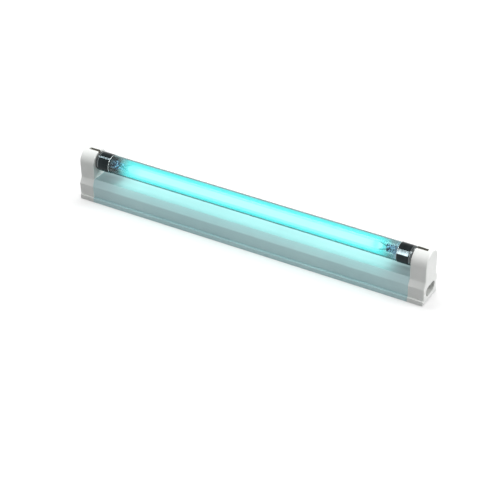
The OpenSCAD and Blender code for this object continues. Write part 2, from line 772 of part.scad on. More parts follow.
// Pins: round-nosed, with a rivet collar on each side of the disc
module base_pins() {
    back = lamp_l / 2 - base_wall - disc_t - fixed_gap;
    r = pin_d / 2;
    nose = 0.5;
    color("silver") for (side = [-1, 1]) {
        y = side * pin_pitch / 2;
        rod(back - 0.8, lamp_l / 2 + pin_l - nose, r, y, axis_h);
        rod(back - 0.4, back, r + 0.3, y, axis_h);
        translate([lamp_l / 2 + pin_l - nose, y, axis_h]) rotate([0, 90, 0])
            cylinder(h = nose, r1 = r, r2 = r - nose, $fn = 48);
    }
}

// Stem: a flared glass tube, flattened at its inner end round the lead-in wires
module stem() {
    r = stem_d / 2;
    flare_r = glass_r_in - slide_gap;
    flare_x = glass_end - flare_l - 0.6;
    blend_l = 3;
    color("lightcyan", 0.5) difference() {
        union() {
            turned([[r - stem_wall, neck_x], [r, neck_x], [r, flare_x],
                [r + 0.4, flare_x + flare_l * 0.5], [flare_r, flare_x + flare_l - 0.8],
                [flare_r, flare_x + flare_l], [flare_r - 1, flare_x + flare_l],
                [r - stem_wall + 0.5, flare_x + flare_l * 0.6], [r - stem_wall, flare_x + flare_l * 0.2]]);
            hull() {
                rod(neck_x, neck_x + 0.4, r, 0, axis_h);
                pinch_block(neck_x - blend_l, neck_x - blend_l + 0.2);
            }
            pinch_block(pinch_x, neck_x);
        }
        for (side = [-1, 1])
            rod(pinch_x - 1, neck_x + 1, wire_d / 2 + fixed_gap, 0, axis_h + side * wire_pitch / 2);
    }
}

// The flattened seal, upright and with rounded edges
module pinch_block(x0, x1) {
    corner = pinch_t / 2 - 0.05;
    reach = pinch_w / 2 - corner;
    block([x0, -pinch_t / 2, axis_h - reach], [x1, pinch_t / 2, axis_h + reach]);
    for (side = [-1, 1]) rod(x0, x1, corner, 0, axis_h + side * reach);
}

// Lead-in wires: from the backs of the pins, through the seal, to the filament's ends
module lead_in_wires() {
    back = lamp_l / 2 - base_wall - disc_t - fixed_gap - 0.8;
    y = pin_pitch / 2;
    z = wire_pitch / 2;
    color("slategray") translate([0, 0, axis_h]) for (side = [-1, 1]) wire(concat(
        [[back, side * y, 0]],
        curve([[back - 1, side * y, 0], [back - 4, side * y * 0.7, 0], [neck_x + 6, side * 1.2, side * 0.4],
            [neck_x + 3, side * 0.6, side * (z - 0.4)], [neck_x + 0.6, 0, side * z]], 3),
        curve([[pinch_x - 0.4, 0, side * z], [pinch_x - 2, 0, side * (z + 0.4)],
            [filament_x + 1.4, 0, side * (filament_l / 2 - 0.1)],
            [filament_x + 0.2, 0, side * filament_l / 2], [filament_x - 0.7, 0, side * filament_l / 2]], 3)),
        wire_d, [0, 1, 0]);
}

// Filament: a coil between the two lead-in wires
module filament() {
    span = filament_l - wire_d - 0.2;
    steps = 10;
    r = (coil_d - coil_wire) / 2;
    count = coil_turns * steps;
    color("gray") translate([filament_x, 0, axis_h]) wire([for (i = [0:count])
        [r * cos(360 * i / steps), r * sin(360 * i / steps), span * (i / count - 0.5)]],
        coil_wire, [1, 0, 0], 6);
}

housing();
base_plate();
left_end() end_cap();  // end_cap_left
end_cap();  // end_cap_right
left_end() contact_block();  // contact_block_left
contact_block();  // contact_block_right
left_end() lamp_contacts();  // lamp_contacts_left
lamp_contacts();  // lamp_contacts_right
left_end() rotor();  // rotor_left
rotor();  // rotor_right
left_end() inlet_pins();  // inlet_pins_left
inlet_pins();  // inlet_pins_right
cap_screws();
ballast_board();
choke_core();
choke_bobbin();
choke_winding();
drive_toroid();
bulk_capacitor();
film_capacitors();
transistors();
rectifier_diodes();
resistors();
supply_leads();
link_leads();
left_end() lamp_leads(lead_y_left);  // lamp_leads_left
lamp_leads(lead_y_right);  // lamp_leads_right
tube_glass();
left_end() base_shell();  // base_shell_left
base_shell();  // base_shell_right
left_end() base_disc();  // base_disc_left
base_disc();  // base_disc_right
left_end() base_pins();  // base_pins_left
base_pins();  // base_pins_right
left_end() stem();  // stem_left
stem();  // stem_right
left_end() lead_in_wires();  // lead_in_wires_left
lead_in_wires();  // lead_in_wires_right
left_end() filament();  // filament_left
filament();  // filament_right
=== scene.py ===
# %% [markdown]
# A germicidal lamp lies lit on a white table: a quartz tube of glowing mercury vapour on a slim
# aluminium batten. Its shapes come from the CAD model. This notebook gives them their finishes,
# adds the glow, and sets the light and the camera. Each step says what the thing is on the real
# lamp before it makes it.

# %% Load the CAD model as the frame
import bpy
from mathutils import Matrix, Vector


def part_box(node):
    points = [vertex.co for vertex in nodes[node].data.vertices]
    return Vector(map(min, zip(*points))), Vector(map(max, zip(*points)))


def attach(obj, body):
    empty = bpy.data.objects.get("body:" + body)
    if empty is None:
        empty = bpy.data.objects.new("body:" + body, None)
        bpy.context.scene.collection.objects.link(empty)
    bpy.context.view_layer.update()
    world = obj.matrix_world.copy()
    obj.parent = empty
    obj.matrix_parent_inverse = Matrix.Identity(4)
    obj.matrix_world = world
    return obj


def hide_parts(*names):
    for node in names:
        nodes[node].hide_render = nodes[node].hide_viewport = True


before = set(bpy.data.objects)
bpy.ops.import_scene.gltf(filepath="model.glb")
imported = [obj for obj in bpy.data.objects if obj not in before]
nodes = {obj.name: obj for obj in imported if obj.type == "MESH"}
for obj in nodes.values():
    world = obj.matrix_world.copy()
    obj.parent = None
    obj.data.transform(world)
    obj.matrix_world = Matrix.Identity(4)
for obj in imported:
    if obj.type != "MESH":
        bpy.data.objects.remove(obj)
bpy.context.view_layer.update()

import math

import bmesh
import bpy
from mathutils import Vector

# %% [markdown]
# The camera stands well back with a long lens, to the right of the lamp and above it, so the far
# end looks only a little smaller than the near one. A short lens close by would taper the tube
# much more. The shift slides the picture by a few pixels without turning the camera, which keeps
# upright lines upright.

# %% Camera
camera_distance = 1.3035
camera_turn = math.radians(29.373)
camera_rise = math.radians(34.104)
level = camera_distance * math.cos(camera_rise)

lens = bpy.data.cameras.new("lens")
lens.sensor_width = 36.0
lens.lens = 115.63
lens.shift_x = -0.0018
lens.shift_y = -0.0163
camera = bpy.data.objects.new("camera", lens)
camera.location = (level * math.sin(camera_turn), -level * math.cos(camera_turn),
                   camera_distance * math.sin(camera_rise))
camera.rotation_euler = (-camera.location).to_track_quat("-Z", "Y").to_euler()
bpy.context.scene.collection.objects.link(camera)
bpy.context.scene.camera = camera
print("camera at", [round(v, 3) for v in camera.location])

# %% [markdown]
# Colours are easier to pick as the eye sees them, from 0 to 255, while shaders work with amounts
# of light. One small function turns the first into the second.


# %% Colours
def colour(red, green, blue):
    """A colour given from 0 to 255, as the amounts of light that a shader needs."""
    steps = [v / 255 for v in (red, green, blue)]
    amounts = [v / 12.92 if v <= 0.04045 else ((v + 0.055) / 1.055) ** 2.4 for v in steps]
    return tuple(amounts + [1.0])


def grey(amount):
    """An even grey, given as an amount of light."""
    return (amount, amount, amount, 1.0)


print("mid grey is", round(colour(128, 128, 128)[0], 3))

# %% [markdown]
# Every finish starts from the same few nodes. Noise on Object coordinates is measured in metres
# and stays with the piece, however it turns. These helpers add a node, set its sockets by name
# and join it up, so each finish below reads as a short recipe.


# %% Helpers for finishes
def new_finish(name):
    """An empty finish: its material, its node tree and its main shader."""
    made = bpy.data.materials.new(name)
    made.use_nodes = True
    return made, made.node_tree, made.node_tree.nodes["Principled BSDF"]


def add(tree, kind, sockets=(), **settings):
    """A node of a kind, with some of its sockets and settings given."""
    node = tree.nodes.new("ShaderNode" + kind)
    for key, value in settings.items():
        setattr(node, key, value)
    for key, value in dict(sockets).items():
        node.inputs[key].default_value = value
    return node


def place(tree, scale=(1, 1, 1)):
    """Where a pattern lies on the piece: metres in the piece's own frame, or stretched."""
    mapping = add(tree, "Mapping", {"Scale": scale})
    tree.links.new(add(tree, "TexCoord").outputs["Object"], mapping.inputs["Vector"])
    return mapping.outputs["Vector"]


def noise(tree, where, scale, detail=3.0, roughness=0.5):
    """A cloudy pattern at a place."""
    node = add(tree, "TexNoise", {"Scale": scale, "Detail": detail, "Roughness": roughness})
    tree.links.new(where, node.inputs["Vector"])
    return node.outputs["Fac"]


def shades(tree, value, stops):
    """A value turned into colours: stops are (place from 0 to 1, colour)."""
    ramp = add(tree, "ValToRGB")
    elements = ramp.color_ramp.elements
    while len(elements) < len(stops):
        elements.new(0.5)
    for element, (position, shade) in zip(elements, stops):
        element.position, element.color = position, shade
    tree.links.new(value, ramp.inputs["Fac"])
    return ramp.outputs["Color"]


def between(tree, value, low, high, start=0.3, end=0.7):
    """A value from a pattern, stretched to lie between two numbers."""
    node = add(tree, "MapRange", {"From Min": start, "From Max": end,
                                  "To Min": low, "To Max": high})
    tree.links.new(value, node.inputs["Value"])
    return node.outputs["Result"]


def relief(tree, shader, height, depth, strength):
    """Height that the light sees, with its depth in metres."""
    bump = add(tree, "Bump", {"Distance": depth, "Strength": strength})
    tree.links.new(height, bump.inputs["Height"])
    tree.links.new(bump.outputs["Normal"], shader.inputs["Normal"])


def from_middle(tree, axis):
    """How far a point lies from the lamp's middle along an axis, to either side, in metres."""
    split = add(tree, "SeparateXYZ")
    tree.links.new(place(tree), split.inputs["Vector"])
    distance = add(tree, "Math", operation="ABSOLUTE")
    tree.links.new(split.outputs[axis], distance.inputs[0])
    return distance.outputs[0]


# A Mix node has sockets for numbers, vectors and colours. These are the places of the colour ones.
mix_first, mix_second, mix_result = 6, 7, 2


def lay_over(finish, share, shade):
    """A shade laid over the base colour of a finish, by a share from 0 to 1."""
    tree = finish.node_tree
    base = tree.nodes["Principled BSDF"].inputs["Base Color"]
    mix = add(tree, "Mix", data_type="RGBA")
    tree.links.new(share, mix.inputs["Factor"])
    tree.links.new(base.links[0].from_socket, mix.inputs[mix_first])
    mix.inputs[mix_second].default_value = shade
    tree.links.new(mix.outputs[mix_result], base)


finished = {}


def dress(finish, *names):
    """Gives CAD nodes a finish."""
    for name in names:
        slots = nodes[name].data.materials
        slots.clear()
        slots.append(finish)
        finished[name] = finish.name


def both(name):
    """The names of the left and the right one of a pair."""
    return name + "_left", name + "_right"


# %% [markdown]
# Moulded plastic is never one flat colour. The mould leaves a fine grain, the colour clouds a
# little where the melt cooled at different speeds, and handling makes some patches glossier. This
# recipe takes two near shades and a grain size, and serves every moulded piece.


# %% Moulded pieces
cloud_scale = 55.0
patch_scale = 140.0


def moulded(name, light, dark, rough=(0.34, 0.46), grain=2600.0, depth=0.00001):
    """Injection-moulded or dipped plastic, with its grain and its cloudy shades."""
    finish, tree, shader = new_finish(name)
    where = place(tree)
    clouds = noise(tree, where, cloud_scale, 4.0)
    tree.links.new(shades(tree, clouds, [(0.35, dark), (0.65, light)]), shader.inputs["Base Color"])
    patches = noise(tree, where, patch_scale, 2.0)
    tree.links.new(between(tree, patches, *rough), shader.inputs["Roughness"])
    relief(tree, shader, noise(tree, where, grain, 2.0), depth, 0.5)
    return finish


cap_white = moulded("moulded_white_cap", colour(240, 242, 240), colour(233, 236, 233))
dress(cap_white, *both("end_cap"))
dress(moulded("moulded_rotor", colour(236, 236, 232), colour(226, 226, 221), (0.28, 0.4)),
      *both("rotor"))
dress(moulded("moulded_contact_block", colour(232, 228, 214), colour(220, 215, 200)),
      *both("contact_block"))
dress(moulded("base_plate_plastic", colour(228, 230, 228), colour(218, 221, 220), (0.4, 0.55),
              1800.0), "base_plate")
dress(moulded("bobbin_plastic", colour(38, 38, 40), colour(28, 28, 30)), "choke_bobbin")
dress(moulded("transistor_epoxy", colour(44, 43, 42), colour(30, 30, 30), (0.4, 0.6)),
      "transistors")
dress(moulded("diode_epoxy", colour(40, 40, 42), colour(26, 26, 28), (0.35, 0.5)),
      "rectifier_diodes")
dress(moulded("film_capacitor_potting", colour(168, 58, 40), colour(140, 42, 30), (0.16, 0.3),
              900.0), "film_capacitors")
print(len(finished), "nodes are moulded")

# %% [markdown]
# The pins of the tube drop in through a slot in the top of each cap. A real slot looks dark,
# because it is narrow and opens on the dark inside of the holder, while clean white walls would
# pass the light down between them. So a box round each slot is marked out in metres from the
# lamp's middle, and a painted shade, a darker grey, is laid over the white in it. Compare gives 1
# within half a width of a place and 0 elsewhere, and two of them multiplied make the box.

# %% Painted shade in the slots of the caps
slot_middle, slot_half_length, slot_half_width = 0.1494, 0.0045, 0.00146
tree = cap_white.node_tree
painted_slot_shade = add(tree, "Math", operation="MULTIPLY")
sides_of_slot = (("X", slot_middle, slot_half_length), ("Y", 0.0, slot_half_width))
for number, (axis, middle, half) in enumerate(sides_of_slot):
    near = add(tree, "Math", {1: middle, 2: half}, operation="COMPARE")
    tree.links.new(from_middle(tree, axis), near.inputs[0])
    tree.links.new(near.outputs[0], painted_slot_shade.inputs[number])
# Painted shade: a darker grey laid over the white walls of each slot.
lay_over(cap_white, painted_slot_shade.outputs[0], colour(130, 128, 122))
# The span of the painted shade in each slot, from the lamp's middle.
print("slots are dusty", round((slot_middle - slot_half_length) * 1000, 1), "to",
      round((slot_middle + slot_half_length) * 1000, 1), "mm from the middle")

# %% [markdown]
# The housing is one aluminium extrusion, satin anodised. Extruding draws fine lines along its
# length, so the grain is stretched a hundred times along X: the noise hardly changes that way and
# changes quickly across. Anodising makes the metal milky and a little blue, so it is only partly
# metallic here.

# %% Anodised housing
drawn_out = (0.01, 1, 1)
anodised, tree, shader = new_finish("anodised_extrusion")
lines = noise(tree, place(tree, drawn_out), 2200.0, 3.0, 0.6)
clouds = noise(tree, place(tree), 24.0, 3.0)
tint = shades(tree, clouds, [(0.3, colour(178, 206, 210)), (0.7, colour(186, 213, 216))])
streaks = shades(tree, lines, [(0.2, grey(0.93)), (0.8, grey(1.0))])
mix = add(tree, "Mix", {"Factor": 1.0}, data_type="RGBA", blend_type="MULTIPLY")
tree.links.new(tint, mix.inputs[mix_first])
tree.links.new(streaks, mix.inputs[mix_second])
tree.links.new(mix.outputs[mix_result], shader.inputs["Base Color"])
tree.links.new(between(tree, lines, 0.3, 0.44), shader.inputs["Roughness"])
shader.inputs["Metallic"].default_value = 0.25
relief(tree, shader, lines, 0.000008, 0.5)
dress(anodised, "housing")
print("the housing is", anodised.name)

# %% [markdown]
# The bases of the tube are drawn from bright aluminium and polished, so they show their
# surroundings: almost black, with a white band or streak where a lamp mirrors in the round. The
# near-black is painted: a dark metal colour stands for the dark reflection of the surroundings,
# and very little roughness lets the lamps mirror in it. Faint rings round the cup stand for the
# marks of the drawing tool.


# %% Metals
def metal(name, light, dark, rough, grain=900.0, stretch=(1, 1, 1), depth=0.000006):
    """Bare metal with fine tool marks."""
    finish, tree, shader = new_finish(name)
    where = place(tree, scale=stretch)
    marks = noise(tree, where, grain, 3.0, 0.6)
    tree.links.new(shades(tree, marks, [(0.3, dark), (0.7, light)]), shader.inputs["Base Color"])
    tree.links.new(between(tree, noise(tree, where, 160.0), *rough), shader.inputs["Roughness"])
    shader.inputs["Metallic"].default_value = 1.0
    relief(tree, shader, marks, depth, 0.4)
    return finish


rings = (1, 0.02, 0.02)
# Painted reflection: this dark colour stands for dark surroundings mirrored in bright metal.
cup_metal = metal("polished_base_cup", colour(52, 58, 60), colour(30, 36, 38), (0.015, 0.04),
                  500.0, rings, 0.000001)
dress(cup_metal, *both("base_shell"))
dress(metal("nickel_pins", colour(206, 204, 198), colour(178, 176, 170), (0.16, 0.3)),
      *both("base_pins"), *both("inlet_pins"))
dress(metal("zinc_screws", colour(196, 198, 200), colour(160, 163, 166), (0.25, 0.4)),
      "cap_screws")
dress(metal("contact_bronze", colour(214, 168, 96), colour(180, 132, 68), (0.25, 0.38)),
      *both("lamp_contacts"))
# The wires' navy is painted: it stands for the dark blue that the wires show behind the glass, not
# the colour of bare wire.
dress(metal("dark_lead_in_wires", colour(60, 72, 92), colour(22, 30, 48), (0.3, 0.5)),
      *both("lead_in_wires"))
print(len(finished), "nodes are dressed")

# %% [markdown]
# Inside the housing there is an electronic ballast. Nobody sees it until the housing is opened,
# but a shared part may be cut open or taken apart, so each kind of part has its own finish: woven
# laminate, grey ferrite, enamelled copper wound in layers, shrink sleeve, and glossy insulation
# on the leads.


# %% Ballast finishes
def wound(name, light, dark, pitch):
    """Enamelled wire in close turns: bands that are both colour and relief."""
    finish, tree, shader = new_finish(name)
    where = place(tree)
    waves = add(tree, "TexWave", {"Scale": 1.0 / pitch, "Distortion": 0.2}, bands_direction="Z")
    tree.links.new(where, waves.inputs["Vector"])
    bands = waves.outputs["Fac"]
    tree.links.new(shades(tree, bands, [(0.1, dark), (0.7, light)]), shader.inputs["Base Color"])
    tree.links.new(between(tree, noise(tree, where, 300.0), 0.2, 0.36), shader.inputs["Roughness"])
    relief(tree, shader, bands, 0.0001, 0.8)
    return finish


def woven(name, light, dark, cell):
    """Glass cloth in resin: a fine checker under a smooth surface."""
    finish, tree, shader = new_finish(name)
    where = place(tree)
    cloth = add(tree, "TexChecker", {"Scale": 1.0 / cell, "Color1": light, "Color2": dark})
    tree.links.new(where, cloth.inputs["Vector"])
    tree.links.new(cloth.outputs["Color"], shader.inputs["Base Color"])
    tree.links.new(between(tree, noise(tree, where, 200.0), 0.3, 0.45), shader.inputs["Roughness"])
    relief(tree, shader, noise(tree, where, 2400.0), 0.00001, 0.5)
    return finish


weave_cell = 0.0008
wire_pitch = 0.0006
dress(woven("glass_cloth_laminate", colour(196, 164, 92), colour(186, 152, 82), weave_cell),
      "ballast_board")
dress(moulded("ferrite_core", colour(74, 74, 76), colour(52, 52, 54), (0.55, 0.75), 1200.0,
              0.00003), "choke_core")
dress(wound("enamelled_choke_winding", colour(196, 110, 48), colour(112, 54, 20), wire_pitch),
      "choke_winding")
dress(moulded("coated_toroid", colour(52, 92, 60), colour(36, 70, 44), (0.3, 0.5), 800.0),
      "drive_toroid")
dress(moulded("capacitor_sleeve", colour(32, 34, 66), colour(22, 24, 50), (0.14, 0.26), 500.0),
      "bulk_capacitor")
dress(moulded("resistor_lacquer", colour(204, 170, 128), colour(184, 148, 106), (0.3, 0.45),
              1500.0), "resistors")
dress(moulded("phenolic_base_disc", colour(190, 158, 112), colour(164, 132, 90), (0.5, 0.7),
              1500.0), *both("base_disc"))
dress(moulded("brown_insulation", colour(106, 64, 40), colour(88, 50, 30), (0.2, 0.34), 700.0),
      "supply_leads")
dress(moulded("blue_insulation", colour(58, 96, 160), colour(44, 78, 138), (0.2, 0.34), 700.0),
      "link_leads")
dress(moulded("white_insulation", colour(230, 230, 226), colour(214, 214, 210), (0.2, 0.34),
              700.0), *both("lamp_leads"))
print(len(finished), "nodes are dressed")

# %% [markdown]
# Quartz glass bends light, and at the tube's edges the view runs a long way through its wall.
# That path is what draws the thin dark lines along the top and the bottom of the tube. So the
# glass is a real one, with quartz's index of 1.46, and it absorbs light by depth. A tinted
# see-through skin would show no such lines.

# %% Quartz
quartz, tree, shader = new_finish("clear_quartz")
shader.inputs["Transmission Weight"].default_value = 1.0
shader.inputs["IOR"].default_value = 1.46
shader.inputs["Roughness"].default_value = 0.0
haze = noise(tree, place(tree, (0.2, 1, 1)), 60.0, 3.0)
tree.links.new(shades(tree, haze, [(0.3, colour(246, 254, 254)), (0.7, colour(255, 255, 255))]),
               shader.inputs["Base Color"])
absorbing = add(tree, "VolumeAbsorption", {"Color": (0.0, 0.36, 0.37, 1.0), "Density": 800.0})
tree.links.new(absorbing.outputs["Volume"], tree.nodes["Material Output"].inputs["Volume"])
dress(quartz, "tube_glass")
print("quartz absorbs by depth")

# %% [markdown]
# The mounts at the ends are the darkest thing behind the glass: a flared stem pressed flat round
# two wires, whose curves break up whatever lies behind them into dark blue and pale flecks. Those
# flecks are painted reflection: the stem's glass gets them as a coarse, sharp-edged noise between
# navy and a pale lavender, and stays partly clear. The same flecks glow a little, painted light
# that stands for the vapour lighting the stem.

# %% Stems and filaments
stem_glass, tree, shader = new_finish("pressed_stem_glass")
flecks = noise(tree, place(tree), 640.0, 2.0, 0.6)
painted_light_flecks = shades(tree, flecks, [(0.45, colour(4, 16, 36)), (0.51, colour(30, 76, 120)),
                                     (0.56, colour(176, 216, 244))])
tree.links.new(painted_light_flecks, shader.inputs["Base Color"])
# Painted light: the flecks glow, for the vapour's light on the stem.
tree.links.new(painted_light_flecks, shader.inputs["Emission Color"])
shader.inputs["Emission Strength"].default_value = 0.6
tree.links.new(between(tree, flecks, 0.08, 0.3), shader.inputs["Roughness"])
shader.inputs["Alpha"].default_value = 0.94
relief(tree, shader, flecks, 0.0002, 0.6)
dress(stem_glass, *both("stem"))

hot_coil, tree, shader = new_finish("hot_tungsten_coil")
heat = noise(tree, place(tree), 700.0, 2.0)
tree.links.new(shades(tree, heat, [(0.3, colour(255, 236, 214)), (0.7, colour(255, 250, 240))]),
               shader.inputs["Emission Color"])
tree.links.new(shades(tree, heat, [(0.3, colour(96, 92, 90)), (0.7, colour(130, 126, 122))]),
               shader.inputs["Base Color"])
shader.inputs["Emission Strength"].default_value = 2.0
shader.inputs["Roughness"].default_value = 0.5
dress(hot_coil, *both("filament"))
print("nodes without a finish:", sorted(set(nodes) - set(finished)))

# %% [markdown]
# Round things on the tube's axis are all made the same way: a profile of a few corners, spun once
# about the axis and merged. Spun pieces can be shaded smooth, which matters here. Glass and
# polished metal show every flat facet, so the CAD tube and the CAD cups give way to spun ones of
# the same size.

# %% Pieces turned about the tube's axis
tube_low, tube_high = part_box("tube_glass")
axis_height = (tube_low.z + tube_high.z) / 2
glass_radius = (tube_high.z - tube_low.z) / 2
glass_wall = 0.0009
merge_distance = 0.000001
bore_radius = glass_radius - glass_wall
filament_place = sum(corner.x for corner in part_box("filament_right")) / 2
rim_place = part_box("base_shell_right")[0].x
print("bore", round(bore_radius * 1000, 2), "mm, filaments at",
      round(filament_place * 1000, 2), "mm")


def turned(name, profile, closed=False, sides=64, drop=0.0):
    """A skin from a profile of (place along X, radius), turned about the tube's axis."""
    shape = bmesh.new()
    corners = [shape.verts.new((x, 0.0, axis_height - drop + r)) for x, r in profile]
    pairs = list(zip(corners, corners[1:])) + ([(corners[-1], corners[0])] if closed else [])
    edges = [shape.edges.new(pair) for pair in pairs]
    bmesh.ops.spin(shape, geom=corners + edges, cent=(0, 0, axis_height - drop), axis=(1, 0, 0),
                   angle=math.tau, steps=sides, use_merge=True, use_duplicate=False, dvec=(0, 0, 0),
                   use_normal_flip=False)
    bmesh.ops.remove_doubles(shape, verts=shape.verts, dist=merge_distance)
    bmesh.ops.recalc_face_normals(shape, faces=shape.faces)
    mesh = bpy.data.meshes.new(name)
    shape.to_mesh(mesh)
    shape.free()
    for face in mesh.polygons:
        face.use_smooth = True
    made = bpy.data.objects.new(name, mesh)
    bpy.context.scene.collection.objects.link(made)
    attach(made, "tube")
    print(name, len(mesh.polygons), "faces")
    return made


def arc(x, r, radius, start, end, steps=6):
    """Corners of a profile on a round, from one angle to another. Angle 0 points along X."""
    angles = [math.radians(start + (end - start) * k / steps) for k in range(steps + 1)]
    return [(x + radius * math.cos(a), r + radius * math.sin(a)) for a in angles]


# %% [markdown]
# The quartz tube is one closed profile: along the outside, round the end, back along the bore and
# round the other end. The ends of a real tube are melted smooth in a flame, so each is a half
# round as wide as the wall. The rings along the length cut the long faces into shorter ones, and
# the two close to the ends keep the smooth shading of the rounds from running into the straight
# walls.

# %% Quartz tube
fine_sides = 96
ring_steps = 8
glass_end = tube_high.x
fire_round = glass_wall / 2
wall_middle = glass_radius - fire_round
right_end = arc(glass_end - fire_round, wall_middle, fire_round, -90, 90)
left_end = arc(-glass_end + fire_round, wall_middle, fire_round, 90, 270)
rings_along = [glass_end * k / ring_steps for k in range(1 - ring_steps, ring_steps)]
support = glass_end - 2 * glass_wall
outer_rings = [(x, glass_radius) for x in [support] + rings_along[::-1] + [-support]]
inner_rings = [(x, bore_radius) for x in [-support] + rings_along + [support]]
quartz_tube = turned("quartz_tube", right_end + outer_rings + left_end + inner_rings,
                     closed=True, sides=fine_sides)
quartz_tube.data.materials.append(quartz)
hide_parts("tube_glass")

# %% [markdown]
# Each base is a thin drawn cup. Its rim is cut square over the glass, a fine groove runs round it
# near the outer end, and the outer end is rolled over the insulating disc. A ramp along the cup
# lays painted highlights over the rim, the groove and the rolled edge: pale shades that stand for
# the light these edges catch.

# %% Base cups
cup_low, cup_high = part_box("base_shell_right")
cup_radius = (cup_high.z - cup_low.z) / 2
cup_wall = 0.0003
rim_bevel = 0.0001
rim_band = 0.0004
groove_depth = 0.00018
groove_place = cup_high.x - 0.0024
groove_before, groove_half, groove_after = 0.0007, 0.0004, 0.0006
roll = 0.0013
rolled_lip = 0.0016
sharp_angle = math.radians(50)

along_cup = between(cup_metal.node_tree, from_middle(cup_metal.node_tree, "X"), 0.0, 1.0,
                    cup_low.x, cup_high.x)
# Painted highlights: pale stops at the rim, the groove and the rolled edge.
painted_edge_highlights = shades(cup_metal.node_tree, along_cup,
                [(0.0, grey(1.0)), (0.035, grey(0.0)), (0.8, grey(0.0)), (0.83, grey(0.35)),
                 (0.86, grey(0.0)), (0.97, grey(0.3))])
lay_over(cup_metal, painted_edge_highlights, colour(206, 214, 214))

outside = [(cup_low.x, cup_radius - cup_wall), (cup_low.x, cup_radius - rim_bevel),
           (cup_low.x + rim_bevel, cup_radius), (cup_low.x + rim_band, cup_radius),
           (groove_place - groove_before, cup_radius), (groove_place - groove_half, cup_radius),
           (groove_place, cup_radius - groove_depth),
           (groove_place + groove_half, cup_radius), (groove_place + groove_after, cup_radius)]
outside += arc(cup_high.x - roll, cup_radius - roll, roll, 90, 0)
lip_radius = cup_radius - cup_wall - rolled_lip
inside = [(cup_high.x, lip_radius), (cup_high.x - cup_wall, lip_radius)]
inside += arc(cup_high.x - roll, cup_radius - roll, roll - cup_wall, 0, 90)
for side, name in ((-1, "left"), (1, "right")):
    cup = turned("base_cup_" + name, [(side * x, r) for x, r in outside + inside],
                 closed=True, sides=fine_sides)
    cup.data.set_sharp_from_angle(angle=sharp_angle)
    cup.data.materials.append(cup_metal)
    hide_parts("base_shell_" + name)

# %% [markdown]
# The light itself comes from mercury vapour between the two filaments: a pale, dense column in
# the middle and a cyan sheath round it that fills the tube. It is not a solid, so the CAD model
# has none. Volume shading would be truer and far too slow and noisy, so three closed skins glow
# instead, one inside the other, and all but the middle of the innermost are partly see-through.
# Seen from the side they add up to a soft column.


# %% Glowing skins
def column(radius, end, nose):
    """The profile of a long column with rounded noses, between two ends along X."""
    turns = [math.pi / 2 * k / 8 for k in range(9)]
    round_end = [(end - nose + nose * math.cos(a), radius * math.sin(a)) for a in turns]
    straight = [((end - nose) * (1 - k / 6), radius) for k in range(1, 12)]
    return round_end + straight + [(-x, r) for x, r in reversed(round_end)]


def glowing(name, inner, outer, strength, cover, fade_from, fade_to):
    """Vapour that gives light: two near shades, and a cover that fades towards both ends."""
    finish, tree, shader = new_finish(name)
    clouds = noise(tree, place(tree, (0.15, 1, 1)), 90.0, 2.0)
    tree.links.new(shades(tree, clouds, [(0.3, inner), (0.7, outer)]),
                   shader.inputs["Emission Color"])
    shader.inputs["Emission Strength"].default_value = strength
    shader.inputs["Base Color"].default_value = grey(0.0)
    shader.inputs["Specular IOR Level"].default_value = 0.0
    shader.inputs["Roughness"].default_value = 1.0
    tree.links.new(between(tree, from_middle(tree, "X"), cover, 0.0, fade_from, fade_to),
                   shader.inputs["Alpha"])
    return finish


nose_length = 0.006
# Each row: name, radius, length past the filament, how far it hangs below the axis, two shades,
# strength, cover, and the places beside the filament between which the cover fades.
vapour_skins = (
    ("discharge_sheath", bore_radius - 0.0001, 0.013, 0.0,
     (0.10, 1, 0.97, 1), (0.15, 1, 0.99, 1), 1.9, 0.62, 0.0, 0.009),
    ("discharge_haze", 0.0046, 0.004, 0.0005,
     (0.66, 1, 0.96, 1), (0.74, 1, 0.98, 1), 2.3, 0.5, -0.008, 0.003),
    ("discharge_core", 0.0027, 0.0, 0.0005,
     (1, 0.92, 0.88, 1), (1, 0.96, 0.92, 1), 3.5, 1.0, -0.014, -0.001))
for name, radius, past, drop, inner, outer, strength, cover, fade_from, fade_to in vapour_skins:
    skin = turned(name, column(radius, filament_place + past, nose_length), drop=drop)
    skin.data.materials.append(glowing(name + "_light", inner, outer, strength, cover,
                                       filament_place + fade_from, filament_place + fade_to))

# %% [markdown]
# Two things show at the ends of a used tube. The glass beside each base is greyed by a film of
# metal that has boiled off the filament, thickest at the base: dark and dense at the left end,
# thin at the right one. The vapour lights the films, and that light is painted: each film glows a
# little, and the right one's pale colour and stronger glow stand for the vapour's light on it. And
# the vapour is brightest in a small cloud at the filament. Both are skins again: a short sleeve
# just inside the glass, whose cover grows towards the base, and a small closed egg round the
# filament.


# %% End films and the clouds at the filaments
film_reach = 0.007
film_gap = 0.00004
film_rings, film_step = 8, 0.0015
film_starts, film_full = rim_place - 0.0065, rim_place - 0.0005


def end_film(name, light, dark, cover, lit):
    """A film on the glass that grows denser towards the base, up to a share of the view, and glows
    with painted light by the strength lit.
    """
    finish, tree, shader = new_finish(name)
    smoke = shades(tree, noise(tree, place(tree), 160.0, 3.0), [(0.3, dark), (0.7, light)])
    tree.links.new(smoke, shader.inputs["Base Color"])
    tree.links.new(smoke, shader.inputs["Emission Color"])
    # Painted light: the film glows by the strength lit, for the vapour's light on it.
    shader.inputs["Emission Strength"].default_value = lit
    shader.inputs["Roughness"].default_value = 0.5
    tree.links.new(between(tree, from_middle(tree, "X"), 0.0, cover, film_starts, film_full),
                   shader.inputs["Alpha"])
    return finish


